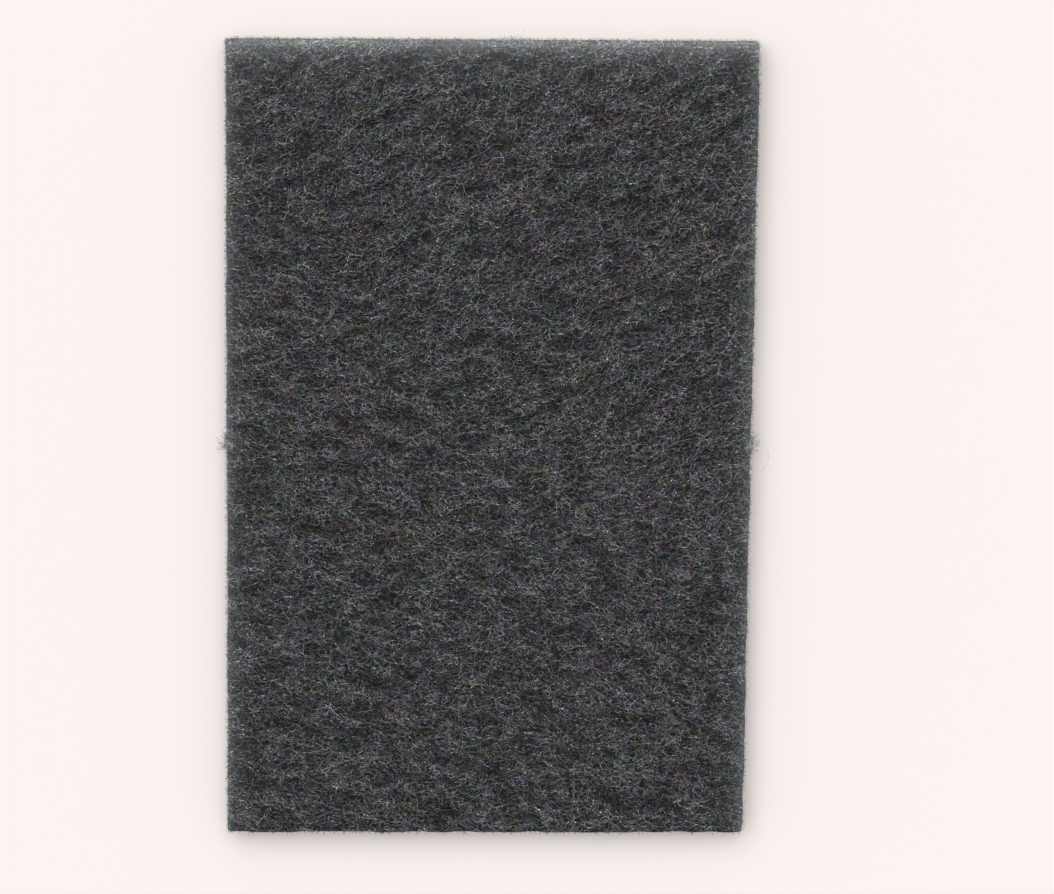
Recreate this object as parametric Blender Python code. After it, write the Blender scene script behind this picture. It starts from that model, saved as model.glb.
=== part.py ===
# Non-woven abrasive hand pad: one die-cut rectangle of lofty fibre web, lying flat.
# Metres, +Z up. The origin is on the surface that the pad lies on, under its middle.
# +Y runs along the pad's length and +Z through its thickness.

import math

import bmesh
import bpy
from mathutils import Matrix, Vector, noise

# The pad
PAD_WIDTH = 0.150
PAD_LENGTH = 0.232
PAD_THICKNESS = 0.0095
EDGE_ROUNDING = 0.0012  # the die pinches the web, so all its edges and corners are round
EDGE_SEGMENTS = 2

# The web's lay: it falls to the right over most of the face, and climbs over its far right part
LAY_SLOPE = math.radians(-13)
FAR_LAY_SLOPE = math.radians(21)
LAY_CHANGE_SLANT = 0.75  # the line between the two parts falls to the right this steeply
LAY_CHANGE_START = -0.0050  # how far beyond the pad's middle the lay starts to turn
LAY_CHANGE_END = 0.0400

# The web's surface: hollows between the matted bundles, and small loops on the bundles
HOLLOW_WIDTH = 0.0098  # from one hollow to the next along the lay
HOLLOW_LENGTH = 0.0046  # and square to it, where the bundles lie closer
HOLLOW_DEPTH = 0.0013
HOLLOW_RIM_LEVEL = -0.10  # the noise level where a hollow starts
BACK_HOLLOW_RIM_LEVEL = 0.04  # higher on the back, which has been pressed level by lying on it
HOLLOW_FLOOR_LEVEL = 0.40  # the noise level where a hollow is at its deepest
LOOP_SPACING = 0.0042
LOOP_DEPTH = 0.00035
CUT_SIDE_DEPTH = 0.0003  # how far a cut side's bundles stand back from the cutting line
CUT_SIDE_SPACING = 0.0060
FACE_BORDER = 0.0040  # the face's hollows fade out this near its edges, where the die pinched them
BACK_BORDER = 0.0100  # the back's fade out further in, where the die's bed bore it

# Sizes of the facets that carry that surface, wider than long as the hollows are
FACE_CELL_WIDTH = 0.0042
FACE_CELL_LENGTH = 0.0023
SIDE_CELL_HEIGHT = 0.0031
BACK_CELL_WIDTH = 0.0072
BACK_CELL_LENGTH = 0.0044

# Nibs: the torn ends of the ties that held the pad in its sheet, at the middles of its edges
NIB_LENGTH = 0.0050  # along the edge
NIB_HEIGHT = 0.0046  # through the thickness
NIB_REACH = 0.0012  # out past the edge
NIB_ROOT = 0.0014  # in past the edge, where the nib grows out of the web
TOP_NIB_OFFSET = 0.0046  # the end's tie is a little to the right of the pad's middle

# Finish: resin-bonded charcoal grey nylon fibre
WEB_COLOUR = (0.050, 0.051, 0.055, 1.0)
WEB_ROUGHNESS = 0.88
WEB_METALLIC = 0.0


def clear_scene():
    for item in list(bpy.data.objects):
        bpy.data.objects.remove(item, do_unlink=True)


def new_collection(name):
    collection = bpy.data.collections.new(name)
    bpy.context.scene.collection.children.link(collection)
    return collection


def web_material():
    material = bpy.data.materials.new("charcoal_fibre_web")
    material.use_nodes = True
    shader = material.node_tree.nodes["Principled BSDF"]
    shader.inputs["Base Color"].default_value = WEB_COLOUR
    shader.inputs["Roughness"].default_value = WEB_ROUGHNESS
    shader.inputs["Metallic"].default_value = WEB_METALLIC
    return material


def cut_lines(length, cell):
    """Evenly spaced places that divide the flat stretch of a side into cells."""
    flat = length - 2 * EDGE_ROUNDING
    count = max(1, round(flat / cell))
    return [-flat / 2 + flat * step / count for step in range(1, count)]


def cut_across(mesh, wanted, place, normal):
    """Cuts the wanted faces along a plane, so that both sides of the cut stay joined."""
    faces = [face for face in mesh.faces if wanted(face)]
    edges = {edge for face in faces for edge in face.edges}
    corners = {corner for face in faces for corner in face.verts}
    bmesh.ops.bisect_plane(
        mesh, geom=faces + list(edges) + list(corners), dist=1e-7, plane_co=place, plane_no=normal
    )


def is_lower(face):
    """The back and the rounding that leads up from it."""
    return face.calc_center_median().z < EDGE_ROUNDING


def is_upper(face):
    """The face of the pad, its cut sides and the rounding between them."""
    return not is_lower(face)


def divide_surface(mesh):
    """Divides the plain slab into cells small enough to carry the relief."""
    cells = ((is_upper, FACE_CELL_WIDTH, FACE_CELL_LENGTH), (is_lower, BACK_CELL_WIDTH, BACK_CELL_LENGTH))
    for wanted, width, length in cells:
        for x in cut_lines(PAD_WIDTH, width):
            cut_across(mesh, wanted, Vector((x, 0, 0)), Vector((1, 0, 0)))
        for y in cut_lines(PAD_LENGTH, length):
            cut_across(mesh, wanted, Vector((0, y, 0)), Vector((0, 1, 0)))
    for z in cut_lines(PAD_THICKNESS, SIDE_CELL_HEIGHT):
        cut_across(mesh, is_upper, Vector((0, 0, PAD_THICKNESS / 2 + z)), Vector((0, 0, 1)))


def rounded_slab(mesh):
    """The slab that the die cuts, with its edges and corners pinched round."""
    size = Matrix.Diagonal((PAD_WIDTH, PAD_LENGTH, PAD_THICKNESS, 1))
    lift = Matrix.Translation((0, 0, PAD_THICKNESS / 2))
    bmesh.ops.create_cube(mesh, size=1, matrix=lift @ size)
    bmesh.ops.bevel(
        mesh,
        geom=list(mesh.edges),
        offset=EDGE_ROUNDING,
        offset_type="OFFSET",
        segments=EDGE_SEGMENTS,
        profile=0.5,
        affect="EDGES",
        clamp_overlap=True,
    )


def smooth_step(low, high, value):
    share = min(1.0, max(0.0, (value - low) / (high - low)))
    return share * share * (3 - 2 * share)


def lay_at(point):
    """The slope of the web's lay at a place, as an angle from straight across the pad."""
    share = smooth_step(LAY_CHANGE_START, LAY_CHANGE_END, point.y + LAY_CHANGE_SLANT * point.x)
    return LAY_SLOPE + (FAR_LAY_SLOPE - LAY_SLOPE) * share


def inside_border(point, border):
    """0 at the pad's edges, rising to 1 at a border's width in from them."""
    inset = min(PAD_WIDTH / 2 - abs(point.x), PAD_LENGTH / 2 - abs(point.y)) - EDGE_ROUNDING
    return smooth_step(0, border, inset)


def hollow_depth(point, rim_level, border):
    """How deep the web is sunk here between its matted bundles; none on the bundles."""
    turned = Matrix.Rotation(-lay_at(point), 3, "Z") @ point
    place = Vector((turned.x / HOLLOW_WIDTH, turned.y / HOLLOW_LENGTH, turned.z / HOLLOW_WIDTH))
    sunk = smooth_step(rim_level, HOLLOW_FLOOR_LEVEL, noise.noise(place))
    return HOLLOW_DEPTH * inside_border(point, border) * sunk


def loop_depth(point):
    """How far the loops here stay below the highest ones."""
    return LOOP_DEPTH * (0.5 + 0.5 * noise.noise(point / LOOP_SPACING))


def cut_side_depth(point):
    """How far a cut side stands back from the die's line; nothing at its foot, on the die's bed."""
    above_foot = smooth_step(EDGE_ROUNDING, 2 * EDGE_ROUNDING, point.z)
    return above_foot * CUT_SIDE_DEPTH * smooth_step(-0.3, 0.3, noise.noise(point / CUT_SIDE_SPACING))


def surface_depth(point, normal):
    """The relief under a point of the slab: the web's on its faces, the die's on its sides."""
    face_depth = hollow_depth(point, HOLLOW_RIM_LEVEL, FACE_BORDER) + loop_depth(point)
    back_depth = hollow_depth(point, BACK_HOLLOW_RIM_LEVEL, BACK_BORDER)
    on_side = (1 - abs(normal.z)) * cut_side_depth(point)
    return on_side + max(0.0, normal.z) * face_depth + max(0.0, -normal.z) * back_depth


def sink_relief(mesh):
    """Sinks each point of the slab's surface into it by the web's relief there."""
    mesh.normal_update()
    sunk = [corner.co - corner.normal * surface_depth(corner.co, corner.normal) for corner in mesh.verts]
    for corner, place in zip(mesh.verts, sunk):
        corner.co = place


def add_web(collection, material):
    mesh = bmesh.new()
    rounded_slab(mesh)
    divide_surface(mesh)
    sink_relief(mesh)
    bmesh.ops.triangulate(mesh, faces=list(mesh.faces), quad_method="BEAUTY", ngon_method="BEAUTY")
    data = bpy.data.meshes.new("abrasive_pad")
    mesh.to_mesh(data)
    mesh.free()
    data.materials.append(material)
    data.shade_smooth()
    pad = bpy.data.objects.new("abrasive_pad", data)
    collection.objects.link(pad)
    return pad


def nib_places():
    """The middle of each torn tie on its edge, and the angle that it faces."""
    middle = PAD_THICKNESS / 2
    return (
        ("nib_left", Vector((-PAD_WIDTH / 2, 0, middle)), math.pi),
        ("nib_right", Vector((PAD_WIDTH / 2, 0, middle)), 0),
        ("nib_top", Vector((TOP_NIB_OFFSET, PAD_LENGTH / 2, middle)), math.pi / 2),
    )


def add_nib(pad, collection, name, place, facing):
    """A small tuft joined to the pad's edge: an egg that lies half in the web."""
    depth = NIB_REACH + NIB_ROOT
    egg = Matrix.Diagonal((depth / 2, NIB_LENGTH / 2, NIB_HEIGHT / 2, 1))
    out = Matrix.Translation((NIB_REACH - depth / 2, 0, 0))
    mesh = bmesh.new()
    bmesh.ops.create_icosphere(mesh, subdivisions=2, radius=1)
    turned = Matrix.Translation(place) @ Matrix.Rotation(facing, 4, "Z")
    bmesh.ops.transform(mesh, matrix=turned @ out @ egg, verts=mesh.verts)
    data = bpy.data.meshes.new(name)
    mesh.to_mesh(data)
    mesh.free()
    nib = bpy.data.objects.new(name, data)
    nib.hide_render = True
    nib.display_type = "WIRE"
    collection.objects.link(nib)
    join = pad.modifiers.new(name, "BOOLEAN")
    join.operation = "UNION"
    join.solver = "EXACT"
    join.object = nib


def build():
    clear_scene()
    pad = add_web(new_collection("non_woven_abrasive_pad"), web_material())
    helpers = new_collection("joined_shapes")
    for name, place, facing in nib_places():
        add_nib(pad, helpers, name, place, facing)


build()
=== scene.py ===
# Non-woven abrasive hand pad lying flat: a matted web, with single crimped fibres over it.
# Metres, +Z up, the pad's length along +Y.

import math

import bpy
import numpy as np
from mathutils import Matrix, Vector, noise


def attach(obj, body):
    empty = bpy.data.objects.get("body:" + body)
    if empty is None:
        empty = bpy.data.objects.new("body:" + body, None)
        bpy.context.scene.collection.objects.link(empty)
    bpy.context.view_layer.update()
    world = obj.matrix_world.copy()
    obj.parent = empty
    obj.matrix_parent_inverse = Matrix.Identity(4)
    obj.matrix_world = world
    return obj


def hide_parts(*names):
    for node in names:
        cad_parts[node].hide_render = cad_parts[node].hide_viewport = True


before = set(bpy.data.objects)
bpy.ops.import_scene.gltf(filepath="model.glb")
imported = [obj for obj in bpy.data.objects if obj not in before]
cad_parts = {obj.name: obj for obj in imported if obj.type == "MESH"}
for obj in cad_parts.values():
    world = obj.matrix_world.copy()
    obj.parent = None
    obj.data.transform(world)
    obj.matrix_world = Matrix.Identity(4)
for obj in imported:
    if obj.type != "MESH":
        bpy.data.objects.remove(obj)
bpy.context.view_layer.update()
print("frame loaded:", sorted(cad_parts))


# Shared helpers

def linearColour(hexText):
    # sRGB hex to the linear values that the shader takes, and full alpha
    parts = [int(hexText[i:i + 2], 16) / 255 for i in (1, 3, 5)]
    return [p / 12.92 if p <= 0.04045 else ((p + 0.055) / 1.055) ** 2.4 for p in parts] + [1.0]


def addNode(tree, kind, values=None, links=None, **settings):
    # a socket goes by its name, or by its number where several share a name
    node = tree.nodes.new(kind)
    for name, value in settings.items():
        setattr(node, name, value)
    for socket, value in (values or {}).items():
        node.inputs[socket].default_value = value
    for socket, source in (links or {}).items():
        tree.links.new(source, node.inputs[socket])
    return node


def newMaterial(name):
    material = bpy.data.materials.new(name)
    material.use_nodes = True
    material.node_tree.nodes.clear()
    return material, material.node_tree


def smoothStep(low, high, value):
    # 0 up to the low value, 1 from the high one on, and a soft rise between them
    share = np.clip((value - low) / (high - low), 0, 1)
    return share * share * (3 - 2 * share)


def addPiece(name, points, triangles, material):
    mesh = bpy.data.meshes.new(name)
    mesh.vertices.add(len(points))
    mesh.vertices.foreach_set("co", np.asarray(points, np.float32).ravel())
    mesh.loops.add(len(triangles) * 3)
    mesh.loops.foreach_set("vertex_index", np.asarray(triangles, np.int32).ravel())
    mesh.polygons.add(len(triangles))
    firstLoops = np.arange(0, len(triangles) * 3, 3, dtype=np.int32)
    mesh.polygons.foreach_set("loop_start", firstLoops)
    mesh.update(calc_edges=True)
    mesh.validate()
    mesh.shade_smooth()
    mesh.materials.append(material)
    piece = bpy.data.objects.new(name, mesh)
    bpy.context.scene.collection.objects.link(piece)
    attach(piece, "root")
    print(name, len(triangles), "triangles")
    return piece


def setAttribute(piece, name, values):
    attribute = piece.data.attributes.new(name, "FLOAT", "POINT")
    attribute.data.foreach_set("value", np.asarray(values, np.float32))


# The pad's form, the same as its solid's

pad = {
    "width": 0.150,
    "length": 0.232,
    "thickness": 0.0095,
    "edgeRound": 0.0012,
    "faceBorder": 0.0040,  # hollows fade out this near the edges of the face
    "backBorder": 0.0100,  # and this near the edges of the back
}

# The carded web's lay: it falls to the right over most of the pad and climbs to the right over
# the far right part.
webLay = {
    "slope": -13.0,
    "farSlope": 21.0,
    "slant": 0.75,  # the line between the two parts falls to the right this steeply
    "from": -0.005,  # where the lay starts to turn, measured along the pad at its middle
    "to": 0.040,  # and where it has turned
}

relief = {
    "hollowWidth": 0.0098,  # from one hollow to the next along the lay
    "hollowLength": 0.0046,  # and square to it, where the bundles lie closer
    "hollowDepth": 0.0013,
    "faceRim": -0.10,  # noise level where a hollow of the face starts
    "backRim": 0.04,  # higher on the back, so its hollows are fewer
    "floorLevel": 0.40,  # noise level where a hollow is at its deepest
    "loopSpacing": 0.0042,
    "loopDepth": 0.00035,
    "sideSpacing": 0.0060,
    "sideDepth": 0.0003,  # how far a cut side's bundles stand back from the die's line
    "sideLevels": (-0.3, 0.3),  # noise levels where that starts and where it is full
}


def noiseAt(points, across, along, through):
    return np.array([
        noise.noise(Vector((x / across, y / along, z / through))) for x, y, z in points
    ])


def farPart(points):
    # 0 where the lay falls to the right, 1 where it climbs
    slanted = points[:, 1] + webLay["slant"] * points[:, 0]
    return smoothStep(webLay["from"], webLay["to"], slanted)


def layAt(points):
    return np.radians(webLay["slope"] + (webLay["farSlope"] - webLay["slope"]) * farPart(points))


def alongLay(points, lay):
    # places measured along the lay and square to it
    x, y, z = points.T
    cosine, sine = np.cos(lay), np.sin(lay)
    return np.stack([x * cosine + y * sine, y * cosine - x * sine, z], axis=1)


def hollowShare(points, rim):
    # 0 on a matted bundle, 1 at the bottom of a hollow; hollows are longer along the lay
    laid = alongLay(points, layAt(points))
    level = noiseAt(laid, relief["hollowWidth"], relief["hollowLength"], relief["hollowWidth"])
    return smoothStep(rim, relief["floorLevel"], level)


def loopDepth(points):
    # how far the loops here stay below the highest ones
    spacing = relief["loopSpacing"]
    return relief["loopDepth"] * (0.5 + 0.5 * noiseAt(points, spacing, spacing, spacing))


def reliefDepth(points, normals, bridge=0.0):
    # how far the web is sunk below the plain slab; upper fibres bridge a share of each hollow
    spacing, edge = relief["sideSpacing"], pad["edgeRound"]
    up = normals[:, 2]
    fromSides = pad["width"] / 2 - abs(points[:, 0])
    fromEnds = pad["length"] / 2 - abs(points[:, 1])
    inset = np.minimum(fromSides, fromEnds) - edge
    face = smoothStep(0, pad["faceBorder"], inset) * hollowShare(points, relief["faceRim"])
    face = (1 - bridge) * relief["hollowDepth"] * face + loopDepth(points)
    back = smoothStep(0, pad["backBorder"], inset) * hollowShare(points, relief["backRim"])
    back = relief["hollowDepth"] * back
    side = smoothStep(*relief["sideLevels"], noiseAt(points, spacing, spacing, spacing))
    side = side * relief["sideDepth"] * smoothStep(edge, 2 * edge, points[:, 2])
    return (1 - abs(up)) * side + np.maximum(0, up) * face + np.maximum(0, -up) * back


# Painted light and shade in the fibres' colour: little light gets down into a hollow, and much
# into the open web beside its cut sides.
# Over the near part the fibres are matted in rows, by turns paler and darker.
webLight = {
    "hollowLoss": 0.22,
    "rows": (  # how much paler and darker they are, and their length and width, in two sizes
        (0.30, 0.0080, 0.0026),
        (0.22, 0.0034, 0.0011),
    ),
    "glow": (  # side, how much brighter the fibres are at its cut, and how far in this reaches
        ("farEnd", 0.45, 0.0030),
        ("farEnd", 0.16, 0.0090),
        ("left", 0.22, 0.0045),
        ("right", 0.20, 0.0045),
        # painted shade along the near end, which faces away from the light
        ("nearEnd", -0.60, 0.0007),
    ),
    "through": (  # side, light that comes through between the fibres, and how far in it reaches
        ("farEnd", 0.090, 0.0009),
        ("farEnd", 0.085, 0.0024),
        ("farEnd", 0.045, 0.0065),
        ("left", 0.110, 0.0007),
        ("left", 0.042, 0.0034),
        ("right", 0.120, 0.0007),
        ("right", 0.046, 0.0028),
    ),
    # the same two on the cut sides themselves
    "cutGlow": {"farEnd": 1.9, "left": 1.6, "right": 1.6, "nearEnd": 1.5},
    "cutThrough": {"farEnd": 0.080, "left": 0.022, "right": 0.030, "nearEnd": 0.010},
    "cutReach": 0.0009,
    "cutTop": (0.0005, 0.0015),  # how far under the face a cut side's light starts and is full
}
# The axis that each side stands across, and which end of it
edgeSides = {"left": (0, -1), "right": (0, 1), "nearEnd": (1, -1), "farEnd": (1, 1)}


def edgeFade(points, sideName, reach):
    # 1 at a cut side, fading out inwards over its reach
    axis, sign = edgeSides[sideName]
    inset = (pad["width"], pad["length"])[axis] / 2 - sign * points[:, axis]
    return np.exp(-np.maximum(0, inset) / reach)


def besideCut(points, base, table, cutLevels):
    level = np.full(len(points), base)
    for sideName, gain, reach in table:
        level = level + gain * edgeFade(points, sideName, reach)
    below = smoothStep(*webLight["cutTop"], pad["thickness"] - points[:, 2])
    for sideName, cutLevel in cutLevels.items():
        share = below * edgeFade(points, sideName, webLight["cutReach"])
        level = level + share * (cutLevel - level)
    return level


def lightAt(points):
    glow = besideCut(points, 1.0, webLight["glow"], webLight["cutGlow"])
    flat = np.column_stack([points[:, :2], np.full(len(points), pad["thickness"])])
    laid = alongLay(flat, math.radians(webLay["slope"]))
    rows = sum(gain * noiseAt(laid, run, width, run) for gain, run, width in webLight["rows"])
    glow = glow * (1 + rows * (1 - farPart(flat) ** 2))
    return glow * (1 - webLight["hollowLoss"] * hollowShare(flat, relief["faceRim"]))


def lightThrough(points):
    return besideCut(points, 0.0, webLight["through"], webLight["cutThrough"])


def axisLines(size, cell):
    # even lines over the flat stretch, and two more over each rounding
    flat = size / 2 - pad["edgeRound"]
    count = round(2 * flat / cell)
    rounding = flat + pad["edgeRound"] * np.array([0.5, 1.0])
    return np.concatenate([-rounding[::-1], np.linspace(-flat, flat, count + 1), rounding])


def roundedSlab(cell):
    # a box of even cells, whose edges and corners are then drawn in to their rounding
    size = np.array([pad["width"], pad["length"], pad["thickness"]])
    lines = [axisLines(size[axis], cell) for axis in range(3)]
    points, quads = [], []
    for axis in range(3):
        a, b = (axis + 1) % 3, (axis + 2) % 3
        for sign in (-1, 1):
            u, v = np.meshgrid(lines[a], lines[b], indexing="ij")
            side = np.zeros(u.shape + (3,))
            side[..., a], side[..., b], side[..., axis] = u, v, sign * size[axis] / 2
            index = np.arange(u.size).reshape(u.shape) + sum(len(p) for p in points)
            ring = [index[:-1, :-1], index[1:, :-1], index[1:, 1:], index[:-1, 1:]]
            quads.append(np.stack(ring[::sign], axis=-1).reshape(-1, 4))
            points.append(side.reshape(-1, 3))
    points, quads = np.concatenate(points), np.concatenate(quads)
    decimals = 7  # corners that agree to a tenth of a micrometre are one
    _, first, same = np.unique(
        np.round(points, decimals), axis=0, return_index=True, return_inverse=True
    )
    points, quads = points[first], same.reshape(-1)[quads]
    inner = size / 2 - pad["edgeRound"]
    nearest = np.clip(points, -inner, inner)
    normals = points - nearest
    normals /= np.linalg.norm(normals, axis=1)[:, None]
    points = nearest + pad["edgeRound"] * normals + [0, 0, pad["thickness"] / 2]
    triangles = np.concatenate([quads[:, [0, 1, 2]], quads[:, [0, 2, 3]]])
    return points, normals, triangles


# Materials

# Nylon staple fibre, crimped, sprayed with resin and abrasive grain and cured in an oven.
# To the eye: charcoal grey, dull, some fibres paler than others, with painted glints of grain along
# each.
fibreFinish = {
    "dark": "#252525",
    "body": "#5f5f61",
    "pale": "#8e8e90",
    # the glint at the ramp's top is a painted highlight
    "glint": "#f6f6f4",
    "toneAt": {"dark": 0.10, "body": 0.45, "pale": 0.75, "glint": 1.00},  # places on the ramp
    "grainSize": 0.00055,  # clusters of grit; a single grain of 0.05 mm is too fine to show
    "grainDetail": 3.0,
    "grainRough": 0.75,
    "grainLevels": (0.3, 0.7),  # noise levels of the darkest and the brightest grain
    "grainShare": 0.60,  # how much of a fibre's tone is grain, beside its own shade
    # painted highlights: white spots where the resin's clear beads would catch the light
    "beadGlint": "#ffffff",  # the resin dries in clear beads that catch the light
    "beadGlintSize": 0.00032,  # a bead of 0.1 mm is too fine to show, so it is drawn three times as wide
    "beadGlintShare": 0.33,  # at 0.5 beads would cover half of a fibre
    "beadGlintEdge": 0.08,  # how softly a bead ends
    "roughness": 0.60,
    "ior": 1.53,
}

# The same web seen deep between its fibres, where resin has matted it.
# To the eye: near black, crossed by curled fibres that get little light; the near black of its
# gaps is painted shade of the web's depth.
coreFinish = {
    "gapShade": "#1a1a1b",
    "fibre": "#99999c",
    "curlSizes": (0.0012, 0.0015, 0.0019, 0.0025, 0.0010),  # spacing of each sheet's curls
    "lineShare": (0.018, 0.016, 0.014, 0.011, 0.020),  # half its fibres' thickness, in noise levels
    "lineHeart": 0.2,  # share of a line's thickness that is fully pale
    "sheetShift": (0.37, 0.21, 0.53),  # moves each sheet's pattern off the one before
    "sheetFade": 0.13,  # each sheet is fainter than the one before
    "curlDetail": 1.5,
    "curlRough": 0.45,
    "faintRun": 2.2,  # a fibre fades and comes back over this many curls
    "faintDetail": 1.0,
    "faintLevels": (0.35, 0.65),  # noise levels where it is faintest and where it shows in full
    "faintest": 0.16,
    "stretch": (1.80, 1.00, 0.60),  # the lay runs across the pad, in layers that lie flat
    "bumpHeight": 0.0002,
    "roughness": 0.85,
    "shine": 0.12,  # the gaps between the fibres give nothing back
    "ior": 1.53,
}

# Fibre from several dye batches is carded together, so the grey leans from clump to clump
# to green, violet, blue and brown.
batchTint = {
    "clump": 0.0046,  # how wide one clump is
    "clumpDetail": 3.0,
    "clumpRough": 0.7,
    "lean": (0.60, 0.46, 0.80),  # how far red, green and blue each wander
    "violet": 0.24,  # how far blue follows red, so batches are more violet and olive than orange
    "inDark": 0.0345,  # the dark between the fibres takes as much tint as a grey this light
    "darkest": 0.002,
    "through": "#f2fbfc",  # light that has come through the web from a cut side
}
lightnessParts = (0.213, 0.715, 0.072)  # what red, green and blue each add to lightness
noiseMiddle = 0.5  # the level that Blender's noise texture lies evenly around


def tintedAndLit(tree, place, colour):
    # a plain tone with its clump's tint, and the light that falls on it and comes through to it
    # painted in
    clump = addNode(
        tree, "ShaderNodeTexNoise",
        {
            "Scale": 1 / batchTint["clump"],
            "Detail": batchTint["clumpDetail"],
            "Roughness": batchTint["clumpRough"],
        },
        {"Vector": place},
    ).outputs["Color"]
    start = [1 - noiseMiddle * lean for lean in batchTint["lean"]]
    start[2] -= noiseMiddle * batchTint["violet"]
    leaning = addNode(
        tree, "ShaderNodeVectorMath", {1: batchTint["lean"], 2: start}, {0: clump},
        operation="MULTIPLY_ADD",
    ).outputs[0]
    red = addNode(tree, "ShaderNodeSeparateColor", links={0: clump}).outputs["Red"]
    batch = addNode(
        tree, "ShaderNodeVectorMath", {1: (0, 0, batchTint["violet"])}, {0: red, 2: leaning},
        operation="MULTIPLY_ADD",
    ).outputs[0]
    # a batch differs in colour and not in lightness, so it is divided by its own lightness
    lightness = addNode(
        tree, "ShaderNodeVectorMath", {1: lightnessParts}, {0: batch}, operation="DOT_PRODUCT"
    ).outputs["Value"]
    even = addNode(
        tree, "ShaderNodeVectorMath", links={0: batch, 1: lightness}, operation="DIVIDE"
    ).outputs[0]
    inDark = (batchTint["inDark"],) * 3
    raised = addNode(
        tree, "ShaderNodeVectorMath", {1: inDark}, {0: colour}, operation="ADD"
    ).outputs[0]
    toned = addNode(
        tree, "ShaderNodeVectorMath", links={0: raised, 1: even}, operation="MULTIPLY"
    ).outputs[0]
    lowered = addNode(
        tree, "ShaderNodeVectorMath", {1: inDark}, {0: toned}, operation="SUBTRACT"
    ).outputs[0]
    kept = addNode(
        tree, "ShaderNodeVectorMath", {1: (batchTint["darkest"],) * 3}, {0: lowered},
        operation="MAXIMUM",
    ).outputs[0]
    falling = addNode(tree, "ShaderNodeAttribute", attribute_name="webLight").outputs["Fac"]
    lit = addNode(
        tree, "ShaderNodeVectorMath", links={0: kept, "Scale": falling}, operation="SCALE"
    ).outputs[0]
    coming = addNode(tree, "ShaderNodeAttribute", attribute_name="lightThrough").outputs["Fac"]
    through = addNode(
        tree, "ShaderNodeVectorMath", {0: linearColour(batchTint["through"])[:3]},
        {"Scale": coming}, operation="SCALE",
    ).outputs[0]
    return addNode(
        tree, "ShaderNodeVectorMath", links={0: lit, 1: through}, operation="ADD"
    ).outputs[0]


def fibreMaterial(name, bright=1.0, look=fibreFinish):
    material, tree = newMaterial(name)
    place = addNode(tree, "ShaderNodeTexCoord").outputs["Object"]
    grain = addNode(
        tree, "ShaderNodeTexNoise",
        {
            "Scale": 1 / look["grainSize"],
            "Detail": look["grainDetail"],
            "Roughness": look["grainRough"],
        },
        {"Vector": place},
    ).outputs["Fac"]
    darkest, brightest = look["grainLevels"]
    spread = addNode(
        tree, "ShaderNodeMapRange", {"From Min": darkest, "From Max": brightest}, {"Value": grain}
    ).outputs["Result"]
    shade = addNode(tree, "ShaderNodeAttribute", attribute_name="strandShade").outputs["Fac"]
    level = addNode(
        tree, "ShaderNodeMix", {"Factor": look["grainShare"]}, {2: shade, 3: spread}
    ).outputs[0]
    ramp = addNode(tree, "ShaderNodeValToRGB", links={"Fac": level})
    stops = ramp.color_ramp.elements
    for stop, tone in ((stops[0], "dark"), (stops[1], "glint")):
        stop.position, stop.color = look["toneAt"][tone], linearColour(look[tone])
    for tone in ("body", "pale"):
        stops.new(look["toneAt"][tone]).color = linearColour(look[tone])
    # painted highlights: white spots mixed into the colour where resin beads would catch the light
    beadGlint = addNode(
        tree, "ShaderNodeTexNoise", {"Scale": 1 / look["beadGlintSize"], "Detail": 0.0},
        {"Vector": place},
    ).outputs["Fac"]
    beadGlintFrom = 1 - look["beadGlintShare"]
    spot = addNode(
        tree, "ShaderNodeMapRange",
        {"From Min": beadGlintFrom, "From Max": beadGlintFrom + look["beadGlintEdge"]}, {"Value": beadGlint},
    ).outputs["Result"]
    beadGlinted = addNode(
        tree, "ShaderNodeMix", {7: linearColour(look["beadGlint"])},
        {"Factor": spot, 6: ramp.outputs["Color"]}, data_type="RGBA",
    ).outputs[2]
    lifted = addNode(
        tree, "ShaderNodeVectorMath", {1: (bright,) * 3}, {0: beadGlinted}, operation="MULTIPLY"
    ).outputs[0]
    shader = addNode(
        tree, "ShaderNodeBsdfPrincipled", {"Roughness": look["roughness"], "IOR": look["ior"]},
        {"Base Color": tintedAndLit(tree, place, lifted)},
    )
    addNode(tree, "ShaderNodeOutputMaterial", links={"Surface": shader.outputs["BSDF"]})
    return material


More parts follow.
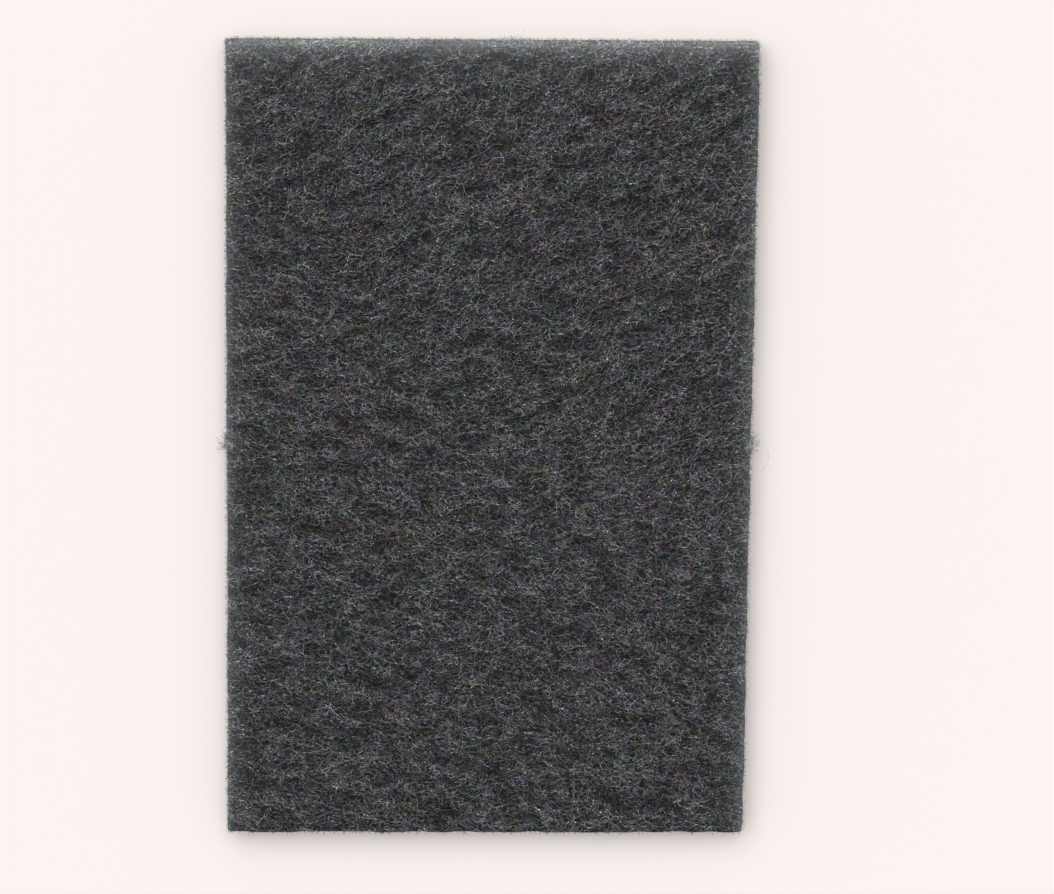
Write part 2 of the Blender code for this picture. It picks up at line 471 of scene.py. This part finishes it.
def coreMaterial(name, look=coreFinish):
    material, tree = newMaterial(name)
    place = addNode(tree, "ShaderNodeTexCoord").outputs["Object"]
    laid = addNode(
        tree, "ShaderNodeVectorMath", {1: look["stretch"]}, {0: place}, operation="DIVIDE"
    ).outputs[0]
    web = None
    for sheet, (size, share) in enumerate(zip(look["curlSizes"], look["lineShare"])):
        shift = [step * sheet for step in look["sheetShift"]]
        shifted = addNode(
            tree, "ShaderNodeVectorMath", {1: shift}, {0: laid}, operation="ADD"
        ).outputs[0]
        # a curled fibre runs where the noise passes its middle level
        field = addNode(
            tree, "ShaderNodeTexNoise",
            {"Scale": 1 / size, "Detail": look["curlDetail"], "Roughness": look["curlRough"]},
            {"Vector": shifted},
        ).outputs["Fac"]
        off = addNode(
            tree, "ShaderNodeMath", {1: noiseMiddle}, {0: field}, operation="SUBTRACT"
        ).outputs[0]
        near = addNode(tree, "ShaderNodeMath", links={0: off}, operation="ABSOLUTE").outputs[0]
        heart = look["lineHeart"] * share
        line = addNode(
            tree, "ShaderNodeMapRange",
            {"From Min": heart, "From Max": share, "To Min": 1.0, "To Max": 0.0},
            {"Value": near}, interpolation_type="SMOOTHSTEP",
        ).outputs["Result"]
        faint = addNode(
            tree, "ShaderNodeTexNoise",
            {"Scale": 1 / (look["faintRun"] * size), "Detail": look["faintDetail"]},
            {"Vector": shifted},
        ).outputs["Fac"]
        faintAt, fullAt = look["faintLevels"]
        full = 1.0 - look["sheetFade"] * sheet
        shown = addNode(
            tree, "ShaderNodeMapRange",
            {"From Min": faintAt, "From Max": fullAt, "To Min": look["faintest"], "To Max": full},
            {"Value": faint},
        ).outputs["Result"]
        line = addNode(
            tree, "ShaderNodeMath", links={0: line, 1: shown}, operation="MULTIPLY"
        ).outputs[0]
        web = line if web is None else addNode(
            tree, "ShaderNodeMath", links={0: web, 1: line}, operation="MAXIMUM"
        ).outputs[0]
    ramp = addNode(tree, "ShaderNodeValToRGB", links={"Fac": web})
    stops = ramp.color_ramp.elements
    stops[0].position, stops[0].color = 0.0, linearColour(look["gapShade"])
    stops[1].position, stops[1].color = 1.0, linearColour(look["fibre"])
    bump = addNode(
        tree, "ShaderNodeBump", {"Strength": 1.0, "Distance": look["bumpHeight"]}, {"Height": web}
    )
    shader = addNode(
        tree, "ShaderNodeBsdfPrincipled",
        {
            "Roughness": look["roughness"],
            "IOR": look["ior"],
            "Specular IOR Level": look["shine"],
        },
        {
            "Base Color": tintedAndLit(tree, place, ramp.outputs["Color"]),
            "Normal": bump.outputs["Normal"],
        },
    )
    addNode(tree, "ShaderNodeOutputMaterial", links={"Surface": shader.outputs["BSDF"]})
    return material


# The matted web

core = {
    "cell": 0.00135,
    "faceInset": 0.00055,  # the single fibres fill this much above it
    "sideInset": 0.00015,
    "backInset": 0.00020,
}


def addCore():
    points, normals, triangles = roundedSlab(core["cell"])
    up = normals[:, 2]
    inset = core["sideInset"] + np.maximum(0, up) * (core["faceInset"] - core["sideInset"])
    inset = inset + np.maximum(0, -up) * (core["backInset"] - core["sideInset"])
    points = points - normals * (reliefDepth(points, normals) + inset)[:, None]
    piece = addPiece("mattedWeb", points, triangles, coreMaterial("mattedNylonWeb"))
    setAttribute(piece, "webLight", lightAt(points))
    setAttribute(piece, "lightThrough", lightThrough(points))
    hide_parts("abrasive_pad")


# Single fibres

strandForm = {
    "radii": (0.75, 1.3),  # of the thinnest and the thickest strand, as shares of its piece's
    "steep": 0.85,  # a strand more upright than this takes its sides from the pad's width
    "shadePower": 1.5,  # above 1 there are more dark strands than pale ones
}


def addStrands(name, strands, radius, random, material, through=1.0):
    # each strand of points becomes a closed three-sided tube with its own thickness and shade;
    # a fourth number at a point is its share of the light
    points = np.concatenate(strands)
    light = points[:, 3] if points.shape[1] > 3 else np.ones(len(points))
    points = points[:, :3]
    counts = np.array([len(strand) for strand in strands])
    radii = radius * random.uniform(*strandForm["radii"], len(strands))
    first = np.repeat(np.cumsum(counts) - counts, counts)
    last = first + np.repeat(counts, counts) - 1
    index = np.arange(len(points))
    tangent = points[np.minimum(index + 1, last)] - points[np.maximum(index - 1, first)]
    tangent /= np.maximum(np.linalg.norm(tangent, axis=1), 1e-9)[:, None]
    steep = abs(tangent[:, 2:]) > strandForm["steep"]
    side = np.cross(tangent, np.where(steep, [[1.0, 0.0, 0.0]], [[0.0, 0.0, 1.0]]))
    side /= np.linalg.norm(side, axis=1)[:, None]
    rise = np.cross(side, tangent)
    thick = np.repeat(radii, counts)[:, None]
    ring = [
        points + thick * (math.cos(turn) * side + math.sin(turn) * rise)
        for turn in (math.pi / 2, math.pi * 7 / 6, math.pi * 11 / 6)
    ]
    corners = np.stack(ring, axis=1).reshape(-1, 3)
    along = index[index < last]
    faces = []
    for k in range(3):
        a, b = along * 3 + k, along * 3 + (k + 1) % 3
        faces += [np.stack([a, b, b + 3], axis=1), np.stack([a, b + 3, a + 3], axis=1)]
    starts, ends = np.unique(first) * 3, np.unique(last) * 3
    faces += [
        np.stack([starts, starts + 2, starts + 1], axis=1),
        np.stack([ends, ends + 1, ends + 2], axis=1),
    ]
    piece = addPiece(name, corners, np.concatenate(faces), material)
    shade = random.uniform(0, 1, len(strands)) ** strandForm["shadePower"]
    setAttribute(piece, "strandShade", np.repeat(shade, counts * 3))
    setAttribute(piece, "webLight", np.repeat(lightAt(points) * light, 3))
    setAttribute(piece, "lightThrough", np.repeat(through * lightThrough(points), 3))


# The six sides of the slab: its middle, the directions across, along and out of it, and half
# its size across and along.
halfWidth, halfLength, halfThick = pad["width"] / 2, pad["length"] / 2, pad["thickness"] / 2
slabSides = {
    "face": (
        (0, 0, 2 * halfThick), (1, 0, 0), (0, 1, 0), (0, 0, 1), (halfWidth, halfLength)
    ),
    "back": (
        (0, 0, 0), (1, 0, 0), (0, -1, 0), (0, 0, -1), (halfWidth, halfLength)
    ),
    "left": (
        (-halfWidth, 0, halfThick), (0, -1, 0), (0, 0, 1), (-1, 0, 0), (halfLength, halfThick)
    ),
    "right": (
        (halfWidth, 0, halfThick), (0, 1, 0), (0, 0, 1), (1, 0, 0), (halfLength, halfThick)
    ),
    "farEnd": (
        (0, halfLength, halfThick), (-1, 0, 0), (0, 0, 1), (0, 1, 0), (halfWidth, halfThick)
    ),
    "nearEnd": (
        (0, -halfLength, halfThick), (1, 0, 0), (0, 0, 1), (0, -1, 0), (halfWidth, halfThick)
    ),
}


def sideFrame(sideName):
    return [np.array(part, float) for part in slabSides[sideName]]


fibreShape = {
    "step": 0.00052,  # from one point of a fibre to the next
    "points": 12,
    "fewest": 3,  # what the die leaves of a fibre is dropped if it has fewer points
    "overlap": 0.0040,  # paths start this far outside too, and the die cuts them at the outline
    "curl": 330.0,  # bend in radians per metre, so a curl is about 3 mm in radius
    "crimp": 0.0014,  # how long a bend keeps its sense
    "kink": 0.42,  # how far a kink turns, in radians
    "layGain": 1.35,  # single fibres turn with the lay further than the hollows do
    "laySpread": 0.50,
    "layPull": 0.05,  # how strongly the fibres turn back to the web's lay
    "nearEven": 0.28,  # how much closer to the lay they keep over the near part
    "nearKink": 0.24,  # and how much more they kink there
    "wander": 0.42,  # neighbouring fibres turn together by up to this, in radians
    "wanderRun": 0.0035,
    "wanderShift": 7.3,  # each sheet's neighbours turn apart from those of the sheet below
    "waver": 0.00008,  # each kink's height above or below its neighbours
    "weave": 0.00016,  # how far a fibre rises and sinks between its neighbours
    "weaveRun": (0.0015, 0.0034),  # the shortest and the longest run over which it does so
    "weaveLight": 0.38,  # how much lighter it is where it rises, and darker where it sinks
    "dip": 0.0006,  # how deep a fibre's ends go down into the web
    "dipRun": 0.0010,
    "overHollow": 0.38,  # share of the fibres left out over the middle of a hollow
    "laidFirst": 1.35,  # so many more are laid at first, to make up for those left out
    "springBack": 0.00025,  # a cut end springs this far past the cut or stays short of it
}


def wanderAt(places, sheet):
    run, shift = fibreShape["wanderRun"], fibreShape["wanderShift"]
    level = [noise.noise(Vector((x / run, y / run, shift * sheet))) for x, y in places]
    return 2 * fibreShape["wander"] * np.array(level)  # noise seldom passes half of its full level


def scattered(random, count, half):
    # one place in each cell of a grid, in mixed order, so that no part is bare or crowded
    columns = max(1, round(math.sqrt(count * half[0] / half[1])))
    rows = math.ceil(count / columns)
    cell = random.permutation(columns * rows)[:count]
    corner = np.stack([cell % columns, cell // columns], axis=1)
    place = corner + random.uniform(0, 1, (count, 2))
    return (2 * place / [columns, rows] - 1) * half


def walk(random, count, half, sheet):
    # flat crimped paths: a bend that keeps its sense for about a crimp's length, with small kinks
    fibre = fibreShape
    step, points = fibre["step"], fibre["points"]
    spread = random.normal(0, fibre["laySpread"], count)
    turned = math.pi * random.integers(0, 2, count)
    keep = math.exp(-step / fibre["crimp"])
    bend = random.normal(0, fibre["curl"], count)
    path = np.zeros((count, points, 2))
    path[:, 0] = scattered(random, count, half + fibre["overlap"])
    near = 1 - farPart(path[:, 0])
    loose = 1 - fibre["nearEven"] * near
    course = spread * loose + turned
    for i in range(1, points):
        bend = keep * bend + math.sqrt(1 - keep * keep) * random.normal(0, fibre["curl"], count)
        course = course + step * bend - fibre["layPull"] * np.sin(2 * course)
        heading = course + fibre["layGain"] * layAt(path[:, i - 1])
        heading = heading + wanderAt(path[:, i - 1], sheet) * loose
        kink = random.normal(0, fibre["kink"], count)
        heading = heading + kink * (1 + fibre["nearKink"] * near)
        towards = np.stack([np.cos(heading), np.sin(heading)], axis=1)
        path[:, i] = path[:, i - 1] + step * towards
    return path


def longestRun(inside):
    # the length and the start of the longest stretch of a path that is inside the cut
    best, start = (0, 0), None
    for i, good in enumerate(list(inside) + [False]):
        if good and start is None:
            start = i
        elif not good and start is not None:
            best = max(best, (i - start, start))
            start = None
    return best


def layFibres(random, sideName, count, lift, bridge=0.0, sheet=0):
    # single fibres that lie on one side of the web and go down into it at both ends;
    # each point of a strand is its place and its share of the light
    fibre, edge = fibreShape, pad["edgeRound"]
    middle, across, along, out, half = sideFrame(sideName)
    path = walk(random, round(count * fibre["laidFirst"]), half, sheet)
    centre = path[:, fibre["points"] // 2]
    spots = middle + centre[:, :1] * across + centre[:, 1:] * along
    if sideName in ("face", "back"):
        share = hollowShare(spots, relief["faceRim" if sideName == "face" else "backRim"])
        spare = random.uniform(0, 1, len(path)) < fibre["overHollow"] * share
        path = path[~spare]
    path = path[:count]
    flat = path.reshape(-1, 2)
    onSlab = middle + flat[:, :1] * across + flat[:, 1:] * along
    depth = reliefDepth(onSlab, np.tile(out, (len(onSlab), 1)), bridge)
    over = np.minimum(np.maximum(0, abs(flat) - (half - edge)), edge)
    drop = edge - np.sqrt(np.maximum(0, edge ** 2 - (over ** 2).sum(axis=1)))
    height = (lift - depth - drop).reshape(len(path), -1)
    height = height + random.normal(0, fibre["waver"], path.shape[:2])
    run = np.arange(fibre["points"]) * fibre["step"]
    fromEnd = np.minimum(run, run[-1] - run)
    height = height - fibre["dip"] * (1 - smoothStep(0, 1, fromEnd / fibre["dipRun"]))
    turns = run / random.uniform(*fibre["weaveRun"], (len(path), 1))
    turns = turns + random.uniform(0, 1, (len(path), 1))
    weave = np.sin(2 * math.pi * turns)
    height = height + fibre["weave"] * weave
    placed = onSlab.reshape(len(path), -1, 3) + height[..., None] * out
    placed = np.concatenate([placed, 1 + fibre["weaveLight"] * weave[..., None]], axis=2)
    cut = random.normal(0, fibre["springBack"], (len(path), 1, 1))
    inside = (abs(path) - cut < half).all(axis=2)
    strands = []
    for i in range(len(path)):
        size, start = longestRun(inside[i])
        if size >= fibre["fewest"]:
            strands.append(placed[i, start:start + size])
    return strands


# The fibres of the face, in four sheets from the lowest up, each painted lighter than the one
# below:
# painted light and shade, as the upper fibres get more light. Nylon staple is 0.05 to 0.10 mm
# thick;
# it is drawn 0.09 to 0.13 mm thick on average, or it wouldn't show.
faceSheets = {
    "lowerFibres": {
        "strands": 2700,
        "radius": 0.000064,
        "lift": -0.00047,  # height over the slab's plain surface
        "bridge": 0.00,  # share of a hollow's depth that they bridge
        # how light the colour is painted; the lower sheets get less light
        "bright": 1.12,
        "seed": 100,
    },
    "middleFibres": {
        "strands": 2700,
        "radius": 0.000056,
        "lift": -0.00030,
        "bridge": 0.08,
        "bright": 1.38,
        "seed": 101,
    },
    "upperFibres": {
        "strands": 2700,
        "radius": 0.000050,
        "lift": -0.00014,
        "bridge": 0.20,
        "bright": 1.58,
        "seed": 102,
    },
    "topFibres": {
        "strands": 2700,
        "radius": 0.000046,
        "lift": 0.0,
        "bridge": 0.30,
        "bright": 1.73,
        "seed": 103,
    },
}


def addFaceFibres():
    for sheet, (name, look) in enumerate(faceSheets.items()):
        random = np.random.default_rng(look["seed"])
        strands = layFibres(
            random, "face", look["strands"], look["lift"], look["bridge"], sheet
        )
        material = fibreMaterial(name + "Nylon", look["bright"])
        addStrands(name, strands, look["radius"], random, material)


backSheet = {
    "strands": 900,
    "radius": 0.000070,
    "lift": -0.00012,  # pressed level by lying on it
    "clear": 1.2,  # no fibre's middle is nearer to the floor than this many radii
    "bright": 0.95,
    "seed": 200,
}


def addBackFibres():
    random = np.random.default_rng(backSheet["seed"])
    strands = layFibres(random, "back", backSheet["strands"], backSheet["lift"])
    for strand in strands:
        strand[:, 2] = np.maximum(strand[:, 2], backSheet["clear"] * backSheet["radius"])
    material = fibreMaterial("backFibresNylon", backSheet["bright"])
    addStrands("backFibres", strands, backSheet["radius"], random, material)


# The cut sides

# Nylon staple cut across by a steel die, after the coating.
# To the eye: plainer and a little greener than the coated fibre, with fewer glints.
cutFinish = dict(fibreFinish, body="#666a69", pale="#949a98", glint="#d0d4d2", beadGlintShare=0.24)

cutSides = {
    "lyingStrands": 1750,  # on all four sides together
    "lyingLift": -0.00012,
    "layerRun": 0.0080,  # the web is laid in layers: how long one shows along a side
    "layerHeight": 0.0009,  # and how thick it is
    "layerLight": 1.3,
    "layerRange": (0.4, 1.8),
    "ends": {"left": 900, "right": 900, "farEnd": 2000, "nearEnd": 600},  # cut ends on each side
    "endStep": 0.00042,
    "endPoints": 4,
    "endDepth": 0.00056,  # how far in from the cut an end starts to show
    "endLean": 0.55,
    "endRise": 0.6,  # ends lean up and down less than along the side, by this share
    "endJitter": 0.35,
    "clear": 0.0001,  # no fibre's middle is nearer to the floor than this
    "radius": 0.000060,
    "bright": 1.15,
    "seed": 300,
}


def layerLight(points):
    # some of the web's layers are denser, and stand out paler on its cut sides
    run, height = cutSides["layerRun"], cutSides["layerHeight"]
    level = 1 + cutSides["layerLight"] * noiseAt(points, run, run, height)
    return np.clip(level, *cutSides["layerRange"])


def straggle(random, starts, directions, points, step, jitter):
    # loose ends: each goes on from its start in its own direction, with small turns
    heading = directions / np.linalg.norm(directions, axis=1)[:, None]
    path = [starts]
    for _ in range(points - 1):
        heading = heading + random.normal(0, jitter, heading.shape)
        heading /= np.linalg.norm(heading, axis=1)[:, None]
        path.append(path[-1] + step * heading)
    return np.stack(path, axis=1)


def cutEnds(random, sideName):
    # short ends that come out of the web all over one side and its rounded edges
    middle, across, along, out, half = sideFrame(sideName)
    count, edge = cutSides["ends"][sideName], pad["edgeRound"]
    spot = random.uniform(-1, 1, (count, 2)) * half
    over = np.sign(spot) * np.maximum(0, abs(spot) - (half - edge)) / edge
    over = over / np.maximum(1, np.linalg.norm(over, axis=1))[:, None]
    rise = np.sqrt(np.maximum(0, 1 - (over ** 2).sum(axis=1)))[:, None]
    facing = over[:, :1] * across + over[:, 1:] * along + rise * out
    centre = np.clip(spot, edge - half, half - edge)
    starts = middle + centre[:, :1] * across + centre[:, 1:] * along - edge * out
    starts = starts + (edge - cutSides["endDepth"]) * facing
    lean = random.normal(0, cutSides["endLean"], (count, 2))
    towards = facing + lean[:, :1] * across + cutSides["endRise"] * lean[:, 1:] * along
    path = straggle(
        random, starts, towards, cutSides["endPoints"], cutSides["endStep"], cutSides["endJitter"]
    )
    return list(np.concatenate([path, np.ones(path.shape[:2] + (1,))], axis=2))


def addCutSides():
    random = np.random.default_rng(cutSides["seed"])
    outline = 2 * (pad["width"] + pad["length"])
    lying, ends = [], []
    for sideName in cutSides["ends"]:
        share = 2 * sideFrame(sideName)[-1][0] / outline
        count = round(cutSides["lyingStrands"] * share)
        lying += layFibres(random, sideName, count, cutSides["lyingLift"])
        ends += cutEnds(random, sideName)
    for strand in lying + ends:
        strand[:, 2] = np.clip(strand[:, 2], cutSides["clear"], pad["thickness"])
        strand[:, 3] *= layerLight(strand[:, :3])
    material = fibreMaterial("cutNylon", cutSides["bright"], cutFinish)
    addStrands("cutSideFibres", lying + ends, cutSides["radius"], random, material)


# The torn ties

# Where the pad was torn from its neighbours, frayed fibre is left at the middle of each side: a
# tuft on the cut, some of it drawn up over the face's edge, and thin wisps that stand out from it.
# A tuft's middle is so far out of the side and up from its middle, and half its size is given
# along the side, out and up. A single hair has its start, bend and end, given the same way.
tornTies = (
    {
        "side": "left",
        "offset": 0.0,
        "tufts": (
            {"strands": 50, "out": 0.0, "up": 0.0, "halfSize": (0.0022, 0.0005, 0.0024)},
            {"strands": 52, "out": -0.0011, "up": 0.0043, "halfSize": (0.0016, 0.0014, 0.0007)},
        ),
        "wisps": 32,
        "wispPoints": 10,
        "wispJitter": 0.80,
        "hairs": (),
    },
    {
        "side": "right",
        "offset": 0.0,
        "tufts": (
            {"strands": 44, "out": 0.0, "up": 0.0, "halfSize": (0.0024, 0.0005, 0.0024)},
            {"strands": 26, "out": -0.0008, "up": 0.0042, "halfSize": (0.0022, 0.0010, 0.0007)},
        ),
        "wisps": 24,
        "wispPoints": 9,
        "wispJitter": 0.55,
        "hairs": (
            ((0.0, 0.0, 0.001), (-0.0014, 0.0086, 0.000), (-0.0086, 0.0033, -0.001)),
        ),
    },
    {
        "side": "farEnd",
        "offset": -0.0046,
        "tufts": (
            {"strands": 44, "out": 0.0, "up": 0.0, "halfSize": (0.0028, 0.0005, 0.0024)},
            {"strands": 16, "out": -0.0004, "up": 0.0040, "halfSize": (0.0026, 0.0008, 0.0008)},
        ),
        "wisps": 20,
        "wispPoints": 7,
        "wispJitter": 0.75,
        "hairs": (
            ((0.0024, 0.0, 0.003), (0.0023, 0.0010, 0.003), (0.0025, 0.0021, 0.003)),
            ((0.0025, 0.0, 0.003), (0.0022, 0.0010, 0.003), (0.0024, 0.0017, 0.003)),
            ((-0.0022, -0.0004, 0.003), (-0.0030, 0.0020, 0.003), (-0.0046, 0.0040, 0.001)),
        ),
    },
)
tieFibre = {
    "step": 0.00046,
    "points": 8,
    "radius": 0.000046,
    "jitter": 0.60,
    "tuftSpread": 0.5,  # how far from a tuft's middle its fibres start, in half sizes
    "tuftHold": 1.15,  # and how far they may go
    "wispRadius": 0.000036,
    "wispSpread": 0.9,
    "wispUp": 0.0010,
    "wispFan": 0.7,  # how far wisps turn along the side
    "wispRise": (0.2, 0.3),  # how far they turn up, and how much that differs
    "hairRadius": 0.000022,
    "hairPoints": 12,
    "clear": 0.0001,  # no fibre's middle is nearer to the floor than this
    "overFace": 0.0003,  # and none stands higher than this above the face
    "bright": 1.15,
    "seed": 400,
}

# Coated nylon staple drawn out until it tore.
# To the eye: pale and a little blue where it is tangled, and dark and brownish in single wisps
# that stand against the light.
tornFinish = dict(fibreFinish, dark="#4c5156", body="#868d95", pale="#a6adb5", glint="#eef0f2")
wispFinish = dict(fibreFinish, dark="#1b1a1a", body="#4a4746", pale="#7d7876")


def tuftStrands(random, root, axes, tuft):
    # a tuft's fibres are tangled, so they stay within it
    centre = root + tuft["out"] * axes[1] + tuft["up"] * axes[2]
    spot = random.normal(0, tieFibre["tuftSpread"], (tuft["strands"], 3)) * tuft["halfSize"]
    towards = random.normal(0, 1, (tuft["strands"], 3))
    paths = straggle(
        random, centre + spot @ axes, towards,
        tieFibre["points"], tieFibre["step"], tieFibre["jitter"],
    )
    strands = []
    for path in paths:
        away = (path - centre) @ axes.T / tuft["halfSize"]
        past = np.maximum(1, np.linalg.norm(away, axis=1) / tieFibre["tuftHold"])
        strands.append(centre + (away / past[:, None] * tuft["halfSize"]) @ axes)
    return strands


def wispStrands(random, root, axes, tie):
    across, out, along = axes
    count, spread = tie["wisps"], tieFibre["wispSpread"]
    length, _, height = tie["tufts"][0]["halfSize"]
    spot = random.uniform(-spread, spread, (count, 2)) * (length, height)
    starts = root + spot[:, :1] * across + (spot[:, 1:] + tieFibre["wispUp"]) * along
    towards = out + random.normal(0, tieFibre["wispFan"], (count, 1)) * across
    towards = towards + random.normal(*tieFibre["wispRise"], (count, 1)) * along
    return straggle(
        random, starts, towards, tie["wispPoints"], tieFibre["step"], tie["wispJitter"]
    )


def hairStrands(root, axes, tie):
    # each hair leaves its start towards its bend, and comes to its end from there
    run = np.linspace(0, 1, tieFibre["hairPoints"])[:, None]
    strands = []
    for start, bend, end in np.array(tie["hairs"]).reshape(-1, 3, 3) @ axes:
        strands.append(root + start * (1 - run) ** 2 + 2 * bend * run * (1 - run) + end * run ** 2)
    return strands


def addTornTies():
    random = np.random.default_rng(tieFibre["seed"])
    tangled, wisps, hairs = [], [], []
    for tie in tornTies:
        middle, across, along, out, _ = sideFrame(tie["side"])
        root, axes = middle + tie["offset"] * across, np.stack([across, out, along])
        for tuft in tie["tufts"]:
            tangled += tuftStrands(random, root, axes, tuft)
        wisps += list(wispStrands(random, root, axes, tie))
        hairs += hairStrands(root, axes, tie)
    highest = pad["thickness"] + tieFibre["overFace"]
    for strand in tangled + wisps + hairs:
        strand[:, 2] = np.clip(strand[:, 2], tieFibre["clear"], highest)
    torn = fibreMaterial("tornNylon", tieFibre["bright"], tornFinish)
    loose = fibreMaterial("looseNylon", look=wispFinish)
    addStrands("tornTies", tangled, tieFibre["radius"], random, torn)
    addStrands("tornWisps", wisps, tieFibre["wispRadius"], random, loose, through=0.0)
    addStrands("looseHairs", hairs, tieFibre["hairRadius"], random, loose, through=0.0)


# Floor, light and camera

# Smooth board with a matt paint.
# To the eye: pale and a little warm, with no shine, so that only the pad's shadow shows on it.
floorBoard = {
    "halfSize": 6.0,
    "paint": "#faf2ef",
    "roughness": 0.9,
    "shine": 0.0,
}


def addFloor():
    mesh = bpy.data.meshes.new("floor")
    half = floorBoard["halfSize"]
    corners = [(-half, -half, 0), (half, -half, 0), (half, half, 0), (-half, half, 0)]
    mesh.from_pydata(corners, [], [(0, 1, 2, 3)])
    material, tree = newMaterial("paleBoard")
    shader = addNode(
        tree, "ShaderNodeBsdfPrincipled",
        {
            "Base Color": linearColour(floorBoard["paint"]),
            "Roughness": floorBoard["roughness"],
            "Specular IOR Level": floorBoard["shine"],
        },
    )
    addNode(tree, "ShaderNodeOutputMaterial", links={"Surface": shader.outputs["BSDF"]})
    mesh.materials.append(material)
    floor = bpy.data.objects.new("floor", mesh)
    bpy.context.scene.collection.objects.link(floor)
    print("floor laid")


studioLight = {
    "softboxLevel": 1.78,
    "softboxElevation": 62.0,
    "softboxTurn": 20.0,  # to the left of the pad's far end
    "softboxSpread": 60.0,  # degrees, as wide as a softbox close by
    "roomLevel": 0.52,
    "roomTurn": 22.0,
    "roomLean": 0.55,  # how much brighter the room is on the softbox's side, and darker opposite
    "backdropLevel": 1.02,
}


def addRoomLight():
    world = bpy.data.worlds.new("studio")
    world.use_nodes = True
    tree = world.node_tree
    background = tree.nodes["Background"]
    turn, level = math.radians(studioLight["roomTurn"]), studioLight["roomLevel"]
    lean = studioLight["roomLean"]
    towards = (-math.sin(turn) * lean, math.cos(turn) * lean, 0)
    sky = addNode(tree, "ShaderNodeTexCoord").outputs["Generated"]
    leaning = addNode(
        tree, "ShaderNodeVectorMath", {1: towards}, {0: sky}, operation="DOT_PRODUCT"
    ).outputs["Value"]
    room = addNode(
        tree, "ShaderNodeMath", {1: level, 2: level}, {0: leaning}, operation="MULTIPLY_ADD"
    ).outputs[0]
    # the camera sees a backdrop of the same board as the floor
    seen = addNode(tree, "ShaderNodeLightPath").outputs["Is Camera Ray"]
    strength = addNode(
        tree, "ShaderNodeMix", {3: studioLight["backdropLevel"]}, {0: seen, 2: room}
    ).outputs[0]
    tone = addNode(
        tree, "ShaderNodeMix", {6: (1, 1, 1, 1), 7: linearColour(floorBoard["paint"])},
        {"Factor": seen}, data_type="RGBA",
    ).outputs[2]
    tree.links.new(strength, background.inputs["Strength"])
    tree.links.new(tone, background.inputs["Color"])
    bpy.context.scene.world = world
    print("room lit")


def addSoftbox():
    lamp = bpy.data.lights.new("softbox", "SUN")
    lamp.energy = studioLight["softboxLevel"]
    lamp.angle = math.radians(studioLight["softboxSpread"])
    softbox = bpy.data.objects.new("softbox", lamp)
    rise = math.radians(studioLight["softboxElevation"])
    turn = math.radians(studioLight["softboxTurn"])
    source = Vector((
        -math.sin(turn) * math.cos(rise), math.cos(turn) * math.cos(rise), math.sin(rise)
    ))
    softbox.rotation_euler = source.to_track_quat("Z", "Y").to_euler()
    bpy.context.scene.collection.objects.link(softbox)
    print("softbox lit")


# Looks down on the face, 14 degrees from square, from a little beyond its far end.
viewpoint = {
    "place": (-0.03923, 0.34531, 1.40243),
    "turn": (-13.939, -1.891, 0.651),  # degrees
    "sensor": 36.0,
    "lens": 171.99,
    "nearest": 0.05,
    "farthest": 30.0,
}


def addCamera():
    view = bpy.data.cameras.new("camera")
    view.sensor_width, view.lens = viewpoint["sensor"], viewpoint["lens"]
    view.clip_start, view.clip_end = viewpoint["nearest"], viewpoint["farthest"]
    camera = bpy.data.objects.new("camera", view)
    camera.location = viewpoint["place"]
    camera.rotation_euler = [math.radians(turn) for turn in viewpoint["turn"]]
    bpy.context.scene.collection.objects.link(camera)
    bpy.context.scene.camera = camera
    print("camera set")


addCore()
addFaceFibres()
addBackFibres()
addCutSides()
addTornTies()
addFloor()
addRoomLight()
addSoftbox()
addCamera()
bpy.context.scene.view_settings.view_transform = "Standard"
